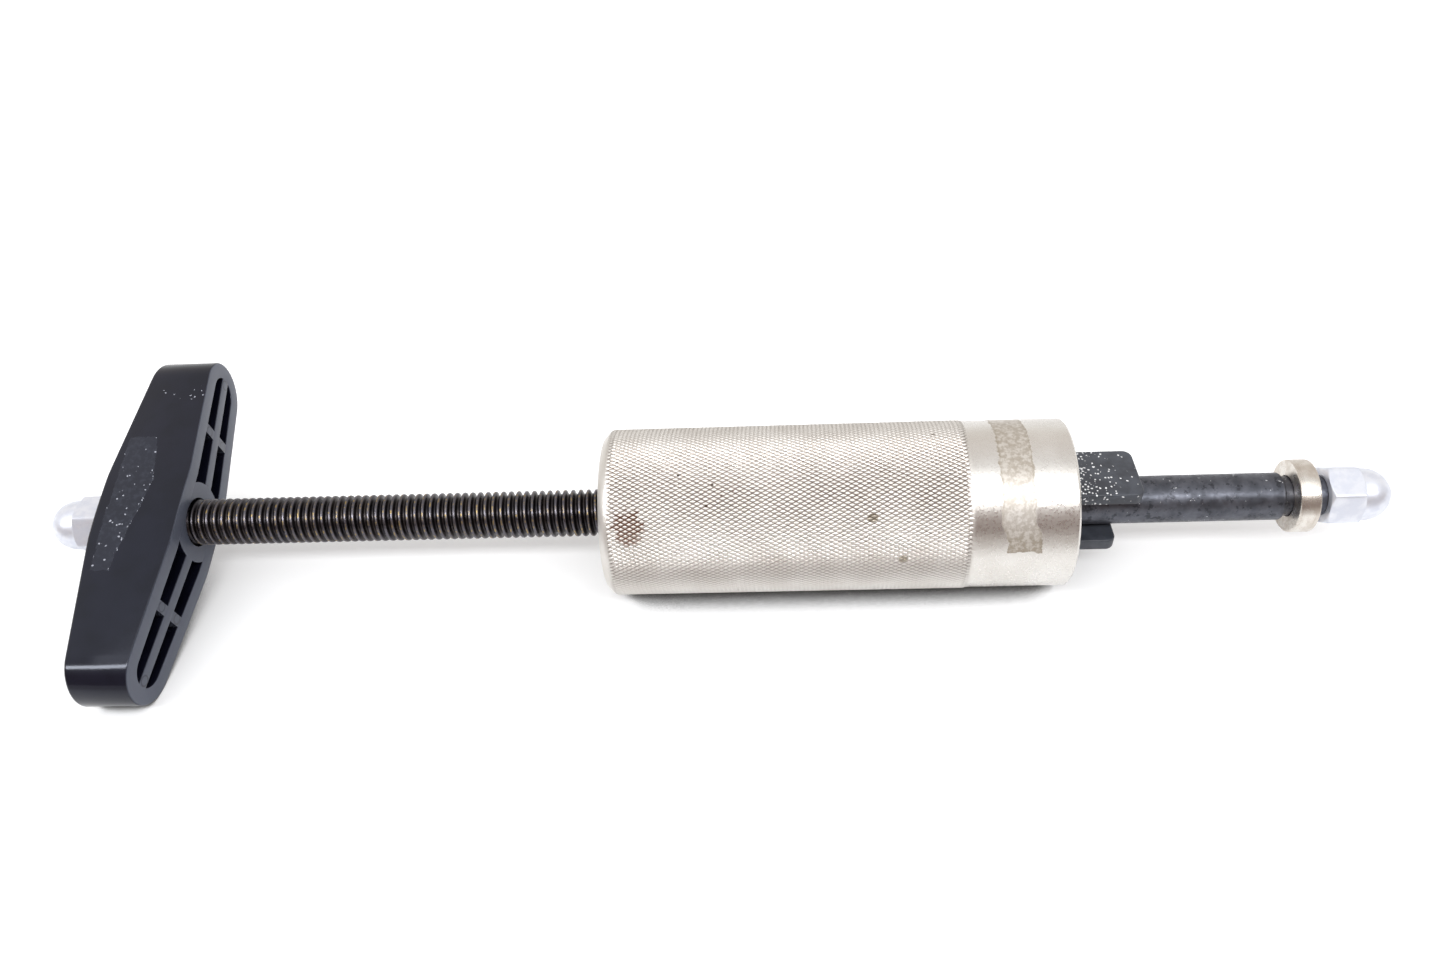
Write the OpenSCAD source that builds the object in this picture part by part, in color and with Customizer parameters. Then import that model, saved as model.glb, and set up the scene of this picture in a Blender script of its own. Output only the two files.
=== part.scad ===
// Piston pin puller: a screw with a moulded T-handle draws a piston pin out of
// its piston and into a knurled sleeve. The tool lies on a bench as it is put
// down: the screw's axis runs along X, the handle is at -X and the tip at +X.

/* [Sleeve] */
// Diameter over the knurl
sleeve_od = 44.4; // [41:0.1:50]
// Length of the sleeve
sleeve_len = 120; // [110:0.2:150]
// Length of the smooth band at the mouth
band_len = 26; // [15:0.2:40]
// Height of the knurl over the smooth band, on the radius
knurl_rise = 0.2; // [0.1:0.05:0.5]
// Bore that the piston pin is drawn into
bore_d = 28.6; // [26:0.1:31]
// Chamfer at the handle end
back_chamfer = 2; // [1:0.1:3]
// Chamfer on both edges of the mouth
mouth_chamfer = 0.6; // [0.3:0.1:1.2]

/* [End plug] */
// Diameter of the flange that carries the pull
flange_d = 34; // [33:0.5:37]
// Thickness of the flange
flange_t = 5; // [3:0.5:8]
// Length of the plug behind the flange
plug_len = 20; // [14:1:24]

/* [Drive screw] */
// Outer diameter of the thread
thread_d = 12.7; // [12:0.1:13]
// Thread in sight between the handle and the sleeve
thread_out = 113.8; // [90:0.2:130]
// Thread beyond the handle end of the sleeve, inside it
thread_in = 75; // [70:1:85]
// Diameter of the smooth nose
nose_d = 12.4; // [11.8:0.1:12.7]
// How far the nose's shoulder stands out of the mouth
nose_out = 56; // [50:0.1:80]
// Diameter of the shank that the puller ring rides on
shank_d = 10.4; // [10:0.1:11]
// Length of that shank
shank_len = 10.6; // [9:0.1:15]
// Diameter of the studs for the two cap nuts
stud_d = 9.5; // [9:0.1:9.8]
// Width across the two flats that drive the handle
flats_w = 8.4; // [7.8:0.1:8.8]

/* [Guide fork] */
// Length of the fork's round base
base_len = 14; // [10:0.5:18]
// Width of each prong
prong_w = 17.1; // [14:0.1:18]
// Thickness of each prong
prong_t = 3.4; // [2.5:0.1:4]
// How far the long prong stands out of the mouth
long_out = 18.3; // [15:0.1:25]
// How far the short prong stands out of the mouth
short_out = 13.8; // [12:0.1:25]
// How far the prongs reach back inside the sleeve
prong_in = 21; // [15:0.5:24]
// Corner radius at the end of each prong
prong_r = 2.4; // [1:0.1:4]

/* [Puller ring] */
// Outer diameter of the ring
ring_d = 19; // [17:0.1:22]
// Width of the ring
ring_w = 5.2; // [4:0.1:6]
// Gap between the nose's shoulder and the ring
ring_gap = 2; // [1:0.1:4]

/* [Cap nuts] */
// Width across the flats
nut_af = 14.3; // [13.5:0.1:16]
// Height of the six-sided part
nut_hex = 8.8; // [6:0.1:10]
// Height of the round neck under the dome
nut_neck = 1.9; // [1:0.1:4]
// Radius of the dome
dome_r = 6.8; // [6:0.1:6.9]

/* [T-handle] */
// Length from end to end
handle_len = 103.6; // [90:0.2:120]
// Width across the middle
handle_w = 22.6; // [21:0.2:28]
// Radius of the rounded ends
end_r = 9.6; // [9:0.1:10.9]
// Depth along the screw, in the middle
handle_depth = 23; // [18:0.2:26]
// Length of the flat that the handle's nut seats on
seat_len = 19.2; // [18:0.2:24]
// How far the palm side falls away at the ends
palm_fall = 3.8; // [1:0.1:7]
// How far the finger side falls away at the ends
finger_fall = 3.8; // [1:0.1:6]
// Thickness of the rim
rim_t = 4.5; // [3:0.1:6]
// Thickness of the rib along the arms
rib_t = 3.4; // [2:0.1:4]
// Thickness of the ribs across the arms
cross_rib_t = 2.8; // [2:0.1:4]
// Thickness of the wall under the palm
palm_t = 3; // [2:0.1:5]
// Where the cross ribs stand, from the screw's axis to their middle
cross_rib_at = 27.2; // [22:0.1:30]
// Depth that the screw is let into the boss
screw_seat = 3; // [1:0.5:5]

/* [Hidden] */
$fn = 96;

// Room on the radius between pieces that slide or turn on each other
slide_gap = 0.06;
// Room on the radius between pieces that are pressed or screwed together
press_gap = 0.02;
// Room between the thread and the slot and hole that it passes through
thread_gap = 0.15;
// Room in the moulded hole of the handle
mould_gap = 0.05;
// How far a cutting shape runs past the piece that it cuts
overrun = 1;

// Small edges of the turned pieces
screw_edge = 0.8;
ring_edge = 0.4;
plug_edge = 0.8;
base_edge = 0.6;
// Slope of the chamfers on the six-sided corners, rise over run
corner_slope = 0.577;
// How deep a stud goes into its cap nut, and how deep the nut is drilled
stud_len = 9.4;
nut_drill = 10.6;

// Places along the axis, from the sleeve's mouth
back_x = -sleeve_len;
boss_x = back_x - thread_out;
palm_x = boss_x - handle_depth;
shoulder_x = nose_out;
tip_seat_x = shoulder_x + shank_len;
thread_end_x = back_x + thread_in;
nut_h = nut_hex + nut_neck + dome_r;
tail_x = palm_x - nut_h;
tip_x = tip_seat_x + nut_h;
ring_x = shoulder_x + ring_gap;
fork_x = -prong_in - base_len;

// The origin is on the bench, below the middle of the tool's length
mouth_x = -(tail_x + tip_x) / 2;
axis_z = sleeve_od / 2;

// The handle has turned until one end rests on the bench beside the sleeve
arm = handle_len / 2 - end_r;
roll = asin((axis_z - end_r) / arm);
// A corner of the tip's nut looks towards the photographed side, and a flat of
// the handle's nut looks just below it
tip_nut_turn = roll + 32.3;
handle_nut_turn = roll + 14.9;

// Puts children on the tool's axis, with x counted from the mouth
module on_axis(x = 0) {
    translate([mouth_x + x, 0, axis_z]) children();
}

// A turned piece: profile points are [radius, place along the axis]
module turned(points) {
    rotate([0, 90, 0]) rotate_extrude() polygon(points);
}

// A round bar along the axis from x0 to x1
module bar(d, x0, x1) {
    translate([x0, 0, 0]) rotate([0, 90, 0]) cylinder(d = d, h = x1 - x0);
}

module sleeve() {
    r = sleeve_od / 2;
    band_r = r - knurl_rise;
    bore_r = bore_d / 2;
    color("#c8c0b6") on_axis() difference() {
        turned([
            [0, back_x],
            [r - back_chamfer, back_x],
            [r, back_x + back_chamfer],
            [r, -band_len],
            [band_r, -band_len],
            [band_r, -mouth_chamfer],
            [band_r - mouth_chamfer, 0],
            [0, 0]
        ]);
        bar(bore_d, back_x - overrun, overrun);
        bar(flange_d, back_x - overrun, back_x + flange_t);
        turned([
            [0, -mouth_chamfer],
            [bore_r, -mouth_chamfer],
            [bore_r + mouth_chamfer, 0],
            [bore_r + mouth_chamfer, overrun],
            [0, overrun]
        ]);
    }
}

module end_plug() {
    flange_r = flange_d / 2 - press_gap;
    plug_r = bore_d / 2 - press_gap;
    inner_x = back_x + flange_t + plug_len;
    hole_r = thread_d / 2 + slide_gap;
    color("#8d8a83") on_axis() difference() {
        turned([
            [0, back_x],
            [flange_r - plug_edge, back_x],
            [flange_r, back_x + plug_edge],
            [flange_r, back_x + flange_t],
            [plug_r, back_x + flange_t],
            [plug_r, inner_x - plug_edge],
            [plug_r - plug_edge, inner_x],
            [0, inner_x]
        ]);
        bar(2 * hole_r, back_x - overrun, inner_x + overrun);
        turned([
            [0, back_x - overrun],
            [hole_r + plug_edge, back_x - overrun],
            [hole_r + plug_edge, back_x],
            [hole_r, back_x + plug_edge],
            [0, back_x + plug_edge]
        ]);
    }
}

module drive_screw() {
    thread_r = thread_d / 2;
    nose_r = nose_d / 2;
    shank_r = shank_d / 2;
    stud_r = stud_d / 2;
    thread_x = boss_x - screw_seat;
    color("#3a342e") on_axis() difference() {
        turned([
            [0, palm_x - stud_len],
            [stud_r - screw_edge, palm_x - stud_len],
            [stud_r, palm_x - stud_len + screw_edge],
            [stud_r, thread_x],
            [thread_r - screw_edge, thread_x],
            [thread_r, thread_x + screw_edge],
            [thread_r, thread_end_x - screw_edge],
            [thread_r - screw_edge, thread_end_x],
            [nose_r, thread_end_x],
            [nose_r, shoulder_x - screw_edge],
            [nose_r - screw_edge, shoulder_x],
            [shank_r, shoulder_x],
            [shank_r, tip_seat_x],
            [stud_r, tip_seat_x],
            [stud_r, tip_seat_x + stud_len - screw_edge],
            [stud_r - screw_edge, tip_seat_x + stud_len],
            [0, tip_seat_x + stud_len]
        ]);
        // The two flats run the length of the handle's hole
        rotate([roll, 0, 0]) for (side = [-1, 1])
            translate([palm_x, -stud_d, side * (flats_w + stud_d) / 2 - stud_d / 2])
                cube([thread_x - palm_x, 2 * stud_d, stud_d]);
    }
}

// One prong seen from above, from the fork's base to its rounded end
module prong_outline(out) {
    corner = prong_w / 2 - prong_r;
    end_x = out - prong_r;
    translate([fork_x + base_edge, -prong_w / 2]) square([end_x - fork_x - base_edge, prong_w]);
    translate([end_x - prong_r, -corner]) square([2 * prong_r, 2 * corner]);
    for (side = [-1, 1]) translate([end_x, side * corner]) circle(r = prong_r);
}

module guide_fork() {
    base_r = bore_d / 2 - slide_gap;
    slot = thread_d + 2 * thread_gap;
    color("#2b2d31") on_axis() difference() {
        union() {
            turned([
                [0, fork_x],
                [base_r - base_edge, fork_x],
                [base_r, fork_x + base_edge],
                [base_r, fork_x + base_len - base_edge],
                [base_r - base_edge, fork_x + base_len],
                [0, fork_x + base_len]
            ]);
            translate([0, 0, slot / 2]) linear_extrude(prong_t) prong_outline(long_out);
            translate([0, 0, -slot / 2 - prong_t]) linear_extrude(prong_t) prong_outline(short_out);
        }
        bar(slot, fork_x - overrun, fork_x + base_len + overrun);
    }
}

module puller_ring() {
    ring_r = ring_d / 2;
    color("#cfc6ba") on_axis(ring_x) difference() {
        turned([
            [0, 0],
            [ring_r - ring_edge, 0],
            [ring_r, ring_edge],
            [ring_r, ring_w - ring_edge],
            [ring_r - ring_edge, ring_w],
            [0, ring_w]
        ]);
        bar(shank_d + 2 * slide_gap, -overrun, ring_w + overrun);
    }
}

// A cap nut whose seat is at x = 0 and whose dome points along +X
module cap_nut() {
    flat_r = nut_af / 2;
    corner_r = flat_r / cos(30);
    corner_drop = (corner_r - flat_r) * corner_slope;
    neck_end = nut_hex + nut_neck;
    difference() {
        union() {
            intersection() {
                rotate([0, 90, 0]) cylinder(r = corner_r, h = nut_hex, $fn = 6);
                turned([
                    [0, 0],
                    [flat_r, 0],
                    [corner_r, corner_drop],
                    [corner_r, nut_hex - corner_drop],
                    [flat_r, nut_hex],
                    [0, nut_hex]
                ]);
            }
            bar(2 * dome_r, nut_hex / 2, neck_end);
            intersection() {
                translate([neck_end, 0, 0]) sphere(r = dome_r);
                bar(2 * dome_r + overrun, neck_end - dome_r / 2, neck_end + dome_r + overrun);
            }
        }
        bar(stud_d + 2 * press_gap, -overrun, nut_drill);
    }
}

module tip_cap_nut() {
    color("#d7dbe2") on_axis(tip_seat_x) rotate([tip_nut_turn, 0, 0]) cap_nut();
}

module handle_cap_nut() {
    color("#d7dbe2") on_axis(palm_x) rotate([handle_nut_turn, 0, 0]) mirror([1, 0, 0]) cap_nut();
}

// Outline of the handle seen along the screw, with u along the arms, set in by
// a wall: widest in the middle, with round ends
module handle_outline(inset) {
    r = end_r - inset;
    mid = handle_w / 2 - inset;
    polygon([[-arm, -r], [0, -mid], [arm, -r], [arm, r], [0, mid], [-arm, r]]);
    for (side = [-1, 1]) translate([side * arm, 0]) circle(r = r);
}

// Side view of the handle, as x from the boss face and u along the arms: the
// palm side is a roof of three flats, and the finger side falls away past the
// boss. The palm side can be set in by a wall and the finger side left open.
module side_view(palm_wall, open) {
    seat = seat_len / 2;
    boss = handle_w / 2;
    half = handle_len / 2 + overrun;
    palm = palm_wall - handle_depth;
    palm_end = palm + palm_fall * (half - seat) / (handle_len / 2 - seat);
    finger = open ? overrun : 0;
    finger_end = open ? overrun : -finger_fall * (half - boss) / (handle_len / 2 - boss);
    polygon([
        [palm, -seat],
        [palm, seat],
        [palm_end, half],
        [finger_end, half],
        [finger, boss],
        [finger, -boss],
        [finger_end, -half],
        [palm_end, -half]
    ]);
}

// The open pockets: what the rim, the boss and the ribs leave of the outline
module pocket_plan() {
    difference() {
        handle_outline(rim_t);
        circle(d = handle_w);
        square([handle_len, rib_t], center = true);
        for (side = [-1, 1]) translate([side * cross_rib_at, 0])
            square([cross_rib_t, handle_w], center = true);
    }
}

// A plan of the handle made as deep as the handle and a little more
module deep() {
    translate([-handle_depth - overrun, 0, 0]) rotate([90, 0, 90])
        linear_extrude(handle_depth + 2 * overrun) children();
}

// A side view of the handle made as wide as the handle and a little more
module wide() {
    linear_extrude(handle_w + 2 * overrun, center = true) children();
}

// The moulded handle: an open shell under the palm, with a rim, a boss for the
// screw, a rib along the arms and a rib across each arm
module t_handle() {
    hole_x = -handle_depth - overrun;
    hole_d = stud_d + 2 * mould_gap;
    hole_flats = flats_w + 2 * mould_gap;
    color("#2d2e32") on_axis(boss_x) rotate([roll, 0, 0]) difference() {
        intersection() {
            deep() handle_outline(0);
            wide() side_view(0, false);
        }
        intersection() {
            deep() pocket_plan();
            wide() side_view(palm_t, true);
        }
        // The hole with two flats that turn the handle, and the screw's seat
        intersection() {
            bar(hole_d, hole_x, overrun);
            translate([hole_x, -hole_d, -hole_flats / 2])
                cube([handle_depth + 2 * overrun, 2 * hole_d, hole_flats]);
        }
        bar(thread_d + 2 * thread_gap, -screw_seat, overrun);
    }
}

sleeve();
end_plug();
drive_screw();
guide_fork();
puller_ring();
tip_cap_nut();
handle_cap_nut();
t_handle();
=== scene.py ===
"""Looks of the piston pin puller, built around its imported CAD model.

Lengths in this script are millimetres until a mesh is made, which turns them to
metres. The screw's axis runs along X at height AXIS_Z. "Round" functions take
an angle from +Y towards +Z around that axis.
"""
import functools
import math

import bpy
import numpy as np
from mathutils import Matrix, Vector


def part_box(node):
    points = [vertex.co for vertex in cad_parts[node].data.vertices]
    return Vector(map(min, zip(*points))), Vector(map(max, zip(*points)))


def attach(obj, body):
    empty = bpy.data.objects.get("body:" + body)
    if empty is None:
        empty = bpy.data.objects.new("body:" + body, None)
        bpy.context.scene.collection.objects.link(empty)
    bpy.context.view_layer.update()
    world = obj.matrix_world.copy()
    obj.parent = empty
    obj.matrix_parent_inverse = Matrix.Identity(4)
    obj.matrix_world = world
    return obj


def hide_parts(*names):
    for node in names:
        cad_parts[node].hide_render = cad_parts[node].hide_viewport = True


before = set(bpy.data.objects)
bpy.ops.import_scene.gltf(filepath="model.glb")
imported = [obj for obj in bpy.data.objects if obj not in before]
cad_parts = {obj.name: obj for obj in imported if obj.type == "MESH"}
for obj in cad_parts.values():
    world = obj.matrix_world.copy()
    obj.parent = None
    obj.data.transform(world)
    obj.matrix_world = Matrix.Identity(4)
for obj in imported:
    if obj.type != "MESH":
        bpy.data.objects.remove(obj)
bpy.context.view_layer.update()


MM = 0.001


def span(node):
    """A CAD node's lowest and highest X, in millimetres."""
    low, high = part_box(node)
    return low[0] / MM, high[0] / MM


# ---- Places and sizes, in mm, read from the frame where it gives them

BACK_X, MOUTH_X = span("sleeve")
PALM_X, BOSS_X = span("t_handle")
RING_X, RING_END = span("puller_ring")
FORK_X, LONG_END = span("guide_fork")
TIP_SEAT = span("tip_cap_nut")[0]
SLEEVE_R = (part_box("sleeve")[1][1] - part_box("sleeve")[0][1]) / MM / 2
AXIS_Z = SLEEVE_R

THREAD_R, NOSE_R, SHANK_R, STUD_R, RING_R = 6.35, 6.2, 5.2, 4.75, 9.5
PITCH = 25.4 / 12
THREAD_INSIDE, SHANK_LEN, BAND_LEN, SCREW_SEAT = 75.0, 10.6, 26.0, 3.0
THREAD_END = BACK_X + THREAD_INSIDE
SHOULDER_X = TIP_SEAT - SHANK_LEN
BAND_X = MOUTH_X - BAND_LEN
BORE_R, FLANGE_R, FLANGE_T, PLUG_LEN = 14.3, 17.0, 5.0, 20.0
# Room around what moves, and around what is pressed in, on the radius
RUNNING_GAP, PRESS_GAP = 0.06, 0.02
HANDLE_HALF, HANDLE_MID, HANDLE_END_R = 51.8, 11.3, 9.6
ARM = HANDLE_HALF - HANDLE_END_R
ROLL = math.asin((AXIS_Z - HANDLE_END_R) / ARM)
DEPTH, SEAT_HALF, PALM_FALL, FINGER_FALL = 23.0, 9.6, 3.8, 3.8
RIM, RIB, CROSS_RIB, CROSS_AT, PALM_WALL = 4.5, 3.4, 2.8, 27.2, 3.0
FORK_BASE, SHORT_PRONG = 14.0, 13.8
SHORT_END = MOUTH_X + SHORT_PRONG
TIP_NUT_TURN = ROLL + math.radians(32.3)
HANDLE_NUT_TURN = ROLL + math.radians(14.9)


# ---- Mesh makers

def make_piece(name, points, faces, material, body, replaced, sharp=40, marks=None):
    """Makes a piece from an n by 3 array of points in mm and a list of faces,
    with edges sharper than an angle in degrees kept crisp, and rides it on a
    body. marks holds one value for each point, for the materials to read."""
    mesh = bpy.data.meshes.new(name)
    mesh.from_pydata(np.asarray(points, float) * MM, [], faces)
    mesh.polygons.foreach_set("use_smooth", np.ones(len(mesh.polygons), bool))
    mesh.set_sharp_from_angle(angle=math.radians(sharp))
    for key, values in (marks or {}).items():
        layer = mesh.attributes.new(key, "FLOAT", "POINT")
        layer.data.foreach_set("value", np.asarray(values, np.float32))
    mesh.materials.append(material)
    piece = bpy.data.objects.new(name, mesh)
    bpy.context.scene.collection.objects.link(piece)
    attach(piece, body)
    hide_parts(*replaced)
    return piece


def grid_faces(rows, columns, wrap_rows=False, wrap_columns=True, start=0):
    """Quads between neighbouring rows and columns of a grid whose points are
    numbered row by row from start."""
    row = np.arange(rows if wrap_rows else rows - 1)[:, None]
    column = np.arange(columns if wrap_columns else columns - 1)[None, :]
    next_row, next_column = (row + 1) % rows, (column + 1) % columns
    corners = np.stack(np.broadcast_arrays(
        row * columns + column, row * columns + next_column,
        next_row * columns + next_column, next_row * columns + column), -1)
    return (corners.reshape(-1, 4) + start).tolist()


def around(x, radius, angles):
    """Points at place x along the axis, at a radius and at angles around it."""
    x, radius, angles = np.broadcast_arrays(x, radius, angles)
    return np.stack([x, radius * np.cos(angles), AXIS_Z + radius * np.sin(angles)], -1)


def rounded(corners, steps=5):
    """A profile of [x, radius, fillet] corners with each corner replaced by an
    arc of that fillet radius: the arc's tangent points lie fillet * tan(turn / 2)
    from the corner, and its points turn evenly between the two directions."""
    corners = np.asarray(corners, float)
    out = []
    for k, (x, r, fillet) in enumerate(corners):
        point = np.array([x, r])
        if fillet == 0 or k in (0, len(corners) - 1):
            out.append(point)
            continue
        before = corners[k - 1, :2] - point
        after = corners[k + 1, :2] - point
        before /= np.hypot(*before)
        after /= np.hypot(*after)
        half = math.acos(np.clip(before @ after, -1, 1)) / 2
        middle = (before + after) / np.hypot(*(before + after))
        centre = point + middle * fillet / math.sin(half)
        reach = fillet / math.tan(half)
        first, last = point + before * reach - centre, point + after * reach - centre
        a0, a1 = math.atan2(first[1], first[0]), math.atan2(last[1], last[0])
        a1 = a0 + (a1 - a0 + math.pi) % (2 * math.pi) - math.pi
        a = np.linspace(a0, a1, steps + 1)
        out.extend(centre + fillet * np.stack([np.cos(a), np.sin(a)], -1))
    return np.array(out)


def end_fans(rows, count):
    """Triangles that close both ends of a grid of rows of count points, to the
    two points numbered after it."""
    step = np.arange(count)
    after = (step + 1) % count
    first, base = np.full(count, rows * count), (rows - 1) * count
    return (np.stack([first, after, step], -1).tolist()
            + np.stack([first + 1, base + step, base + after], -1).tolist())


def turned(profile, count, closed=False):
    """A turned form: the profile [x, radius] goes round the axis in count steps.
    A closed profile makes a ring, and an open one starts and ends on the axis,
    where one point stands for the whole first or last row."""
    profile = np.asarray(profile, float)
    angles = 2 * np.pi * np.arange(count) / count
    if closed:
        points = around(profile[:, :1], profile[:, 1:], angles[None]).reshape(-1, 3)
        return points, grid_faces(len(profile), count, wrap_rows=True)
    inner = profile[1:-1]
    rows = around(inner[:, :1], inner[:, 1:], angles[None]).reshape(-1, 3)
    ends = around(profile[[0, -1], 0], 0.0, 0.0)
    return np.vstack([rows, ends]), grid_faces(len(inner), count) + end_fans(len(inner), count)


def joined(*parts):
    """Several [points, faces] forms as one."""
    points, faces, start = [], [], 0
    for part_points, part_faces in parts:
        points.append(part_points)
        faces += [[i + start for i in face] for face in part_faces]
        start += len(part_points)
    return np.vstack(points), faces


def outward(points, faces):
    """Faces turned over where the closed form is inside out: its signed volume,
    the sum of a . (b x c) over triangles a, b, c, is then negative."""
    points = np.asarray(points)
    total = 0.0
    for size in {len(face) for face in faces}:
        fan = np.array([face for face in faces if len(face) == size])
        for k in range(1, size - 1):
            a, b, c = points[fan[:, 0]], points[fan[:, k]], points[fan[:, k + 1]]
            total += np.einsum("ij,ij->", a, np.cross(b, c))
    return faces if total > 0 else [face[::-1] for face in faces]


# ---- The sleeve: a diamond knurl, a smooth band and the bore

# As counted in the photograph
KNURL_AROUND, KNURL_ROWS = 116, 86
KNURL_DEPTH, KNURL_TOP_SHARE = 0.32, 0.5
# How far the band lies below the knurl's tops, over what length, the chamfer at
# the handle end and the small bevels at the mouth
BAND_DROP, BAND_STEP, CHAMFER, MOUTH_BEVEL = 0.2, 0.25, 2.0, 0.6


def knurl(x0, x1):
    """Diamond knurl from x0 to x1. Two families of grooves cross at the points
    (row m, step n) with m + n even, which lie at the groove radius. The diamond
    round each odd point has its four corners there and a small flat top, whose
    corners lie at a share of the way out from its middle, at the full radius."""
    row_step = (x1 - x0) / KNURL_ROWS
    turn_step = np.pi / KNURL_AROUND

    def at(m, n, radius):
        return around(x0 + m * row_step, radius, n * turn_step)

    m, k = np.meshgrid(np.arange(KNURL_ROWS + 1), np.arange(KNURL_AROUND), indexing="ij")
    at_end = (m == 0) | (m == KNURL_ROWS)
    depth = np.where(at_end, BAND_DROP, KNURL_DEPTH)
    crossings = at(m, 2 * k + m % 2, SLEEVE_R - depth).reshape(-1, 3)

    def crossing(m, n):
        return m * KNURL_AROUND + (n // 2) % KNURL_AROUND

    m, k = np.meshgrid(np.arange(1, KNURL_ROWS), np.arange(KNURL_AROUND), indexing="ij")
    m, n = m.ravel(), (2 * k + (m + 1) % 2).ravel()
    ways = ((-1, 0), (0, 1), (1, 0), (0, -1))
    corners = np.stack([crossing(m + dm, n + dn) for dm, dn in ways], -1)
    share = KNURL_TOP_SHARE
    tops = np.stack([at(m + share * dm, n + share * dn, SLEEVE_R) for dm, dn in ways], 1)
    first_top = len(crossings) + 4 * np.arange(len(m))
    painted_crest_highlight = first_top[:, None] + np.arange(4)[None]
    faces = [painted_crest_highlight]
    for k in range(4):
        j = (k + 1) % 4
        faces.append(np.stack([corners[:, k], corners[:, j], painted_crest_highlight[:, j], painted_crest_highlight[:, k]], -1))
    # Half diamonds at both ends run out flush with the smooth surface
    k = np.arange(KNURL_AROUND)
    ends = []
    for m_end, m_next in ((0, 1), (KNURL_ROWS, KNURL_ROWS - 1)):
        n = 2 * k + (m_end + 1) % 2
        ends.append(np.stack([crossing(m_end, n - 1), crossing(m_end, n + 1),
                              crossing(m_next, n)], -1))
    quads = np.vstack(faces)
    points = np.vstack([crossings, tops.reshape(-1, 3)])
    height = np.concatenate([at_end.ravel() * 1.0, np.ones(4 * len(tops))])
    return points, quads.tolist(), ends[0].tolist() + ends[1][:, ::-1].tolist(), height


def sleeve_form():
    """The knurl and, joined to its first and last rows, a turned surface that
    runs from the knurl over the band, into the bore and back round the handle
    end to the knurl, with the same steps around."""
    x0 = BACK_X + CHAMFER - BAND_STEP
    points, quads, triangles, height = knurl(x0, BAND_X)
    band_r = SLEEVE_R - BAND_DROP
    profile = rounded([
        [BAND_X, band_r, 0], [BAND_X + BAND_STEP, band_r, 0],
        [MOUTH_X - MOUTH_BEVEL, band_r, 0.25], [MOUTH_X, band_r - MOUTH_BEVEL, 0.2],
        [MOUTH_X, BORE_R + MOUTH_BEVEL, 0.2], [MOUTH_X - MOUTH_BEVEL, BORE_R, 0.2],
        [BACK_X + FLANGE_T, BORE_R, 0.05], [BACK_X + FLANGE_T, FLANGE_R, 0.05],
        [BACK_X, FLANGE_R, 0.15], [BACK_X, SLEEVE_R - CHAMFER, 0.3], [x0, band_r, 0]], 3)[1:-1]
    angles = 2 * np.pi * np.arange(KNURL_AROUND) / KNURL_AROUND
    start = len(points)
    ring = around(profile[:, :1], profile[:, 1:], angles[None]).reshape(-1, 3)
    faces = quads + triangles + grid_faces(len(profile), KNURL_AROUND, start=start)
    k = np.arange(KNURL_AROUND)
    after = (k + 1) % KNURL_AROUND
    last_row = KNURL_ROWS * KNURL_AROUND
    last_ring = start + (len(profile) - 1) * KNURL_AROUND
    faces += np.stack([last_row + k, last_row + after, start + after, start + k], -1).tolist()
    faces += np.stack([last_ring + k, last_ring + after, after, k], -1).tolist()
    return np.vstack([points, ring]), faces, np.concatenate([height, np.ones(len(ring))])


# ---- The screw

# Points around, and rows to a pitch
THREAD_AROUND, THREAD_SAMPLES = 60, 10
THREAD_DEPTH = 1.12
# How flat the crests and roots are: 0 is a sine wave
THREAD_FLATNESS = 1.6
# The studs for the cap nuts, as 3/8 inch with 16 threads per inch
STUD_LEN, STUD_DEPTH, STUD_PITCH = 9.4, 0.85, 25.4 / 16
# Where the photograph shows a crest facing the camera, to set the phase
CREST_X = BACK_X - 79.06
CREST_ANGLE = math.radians(135)


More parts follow.
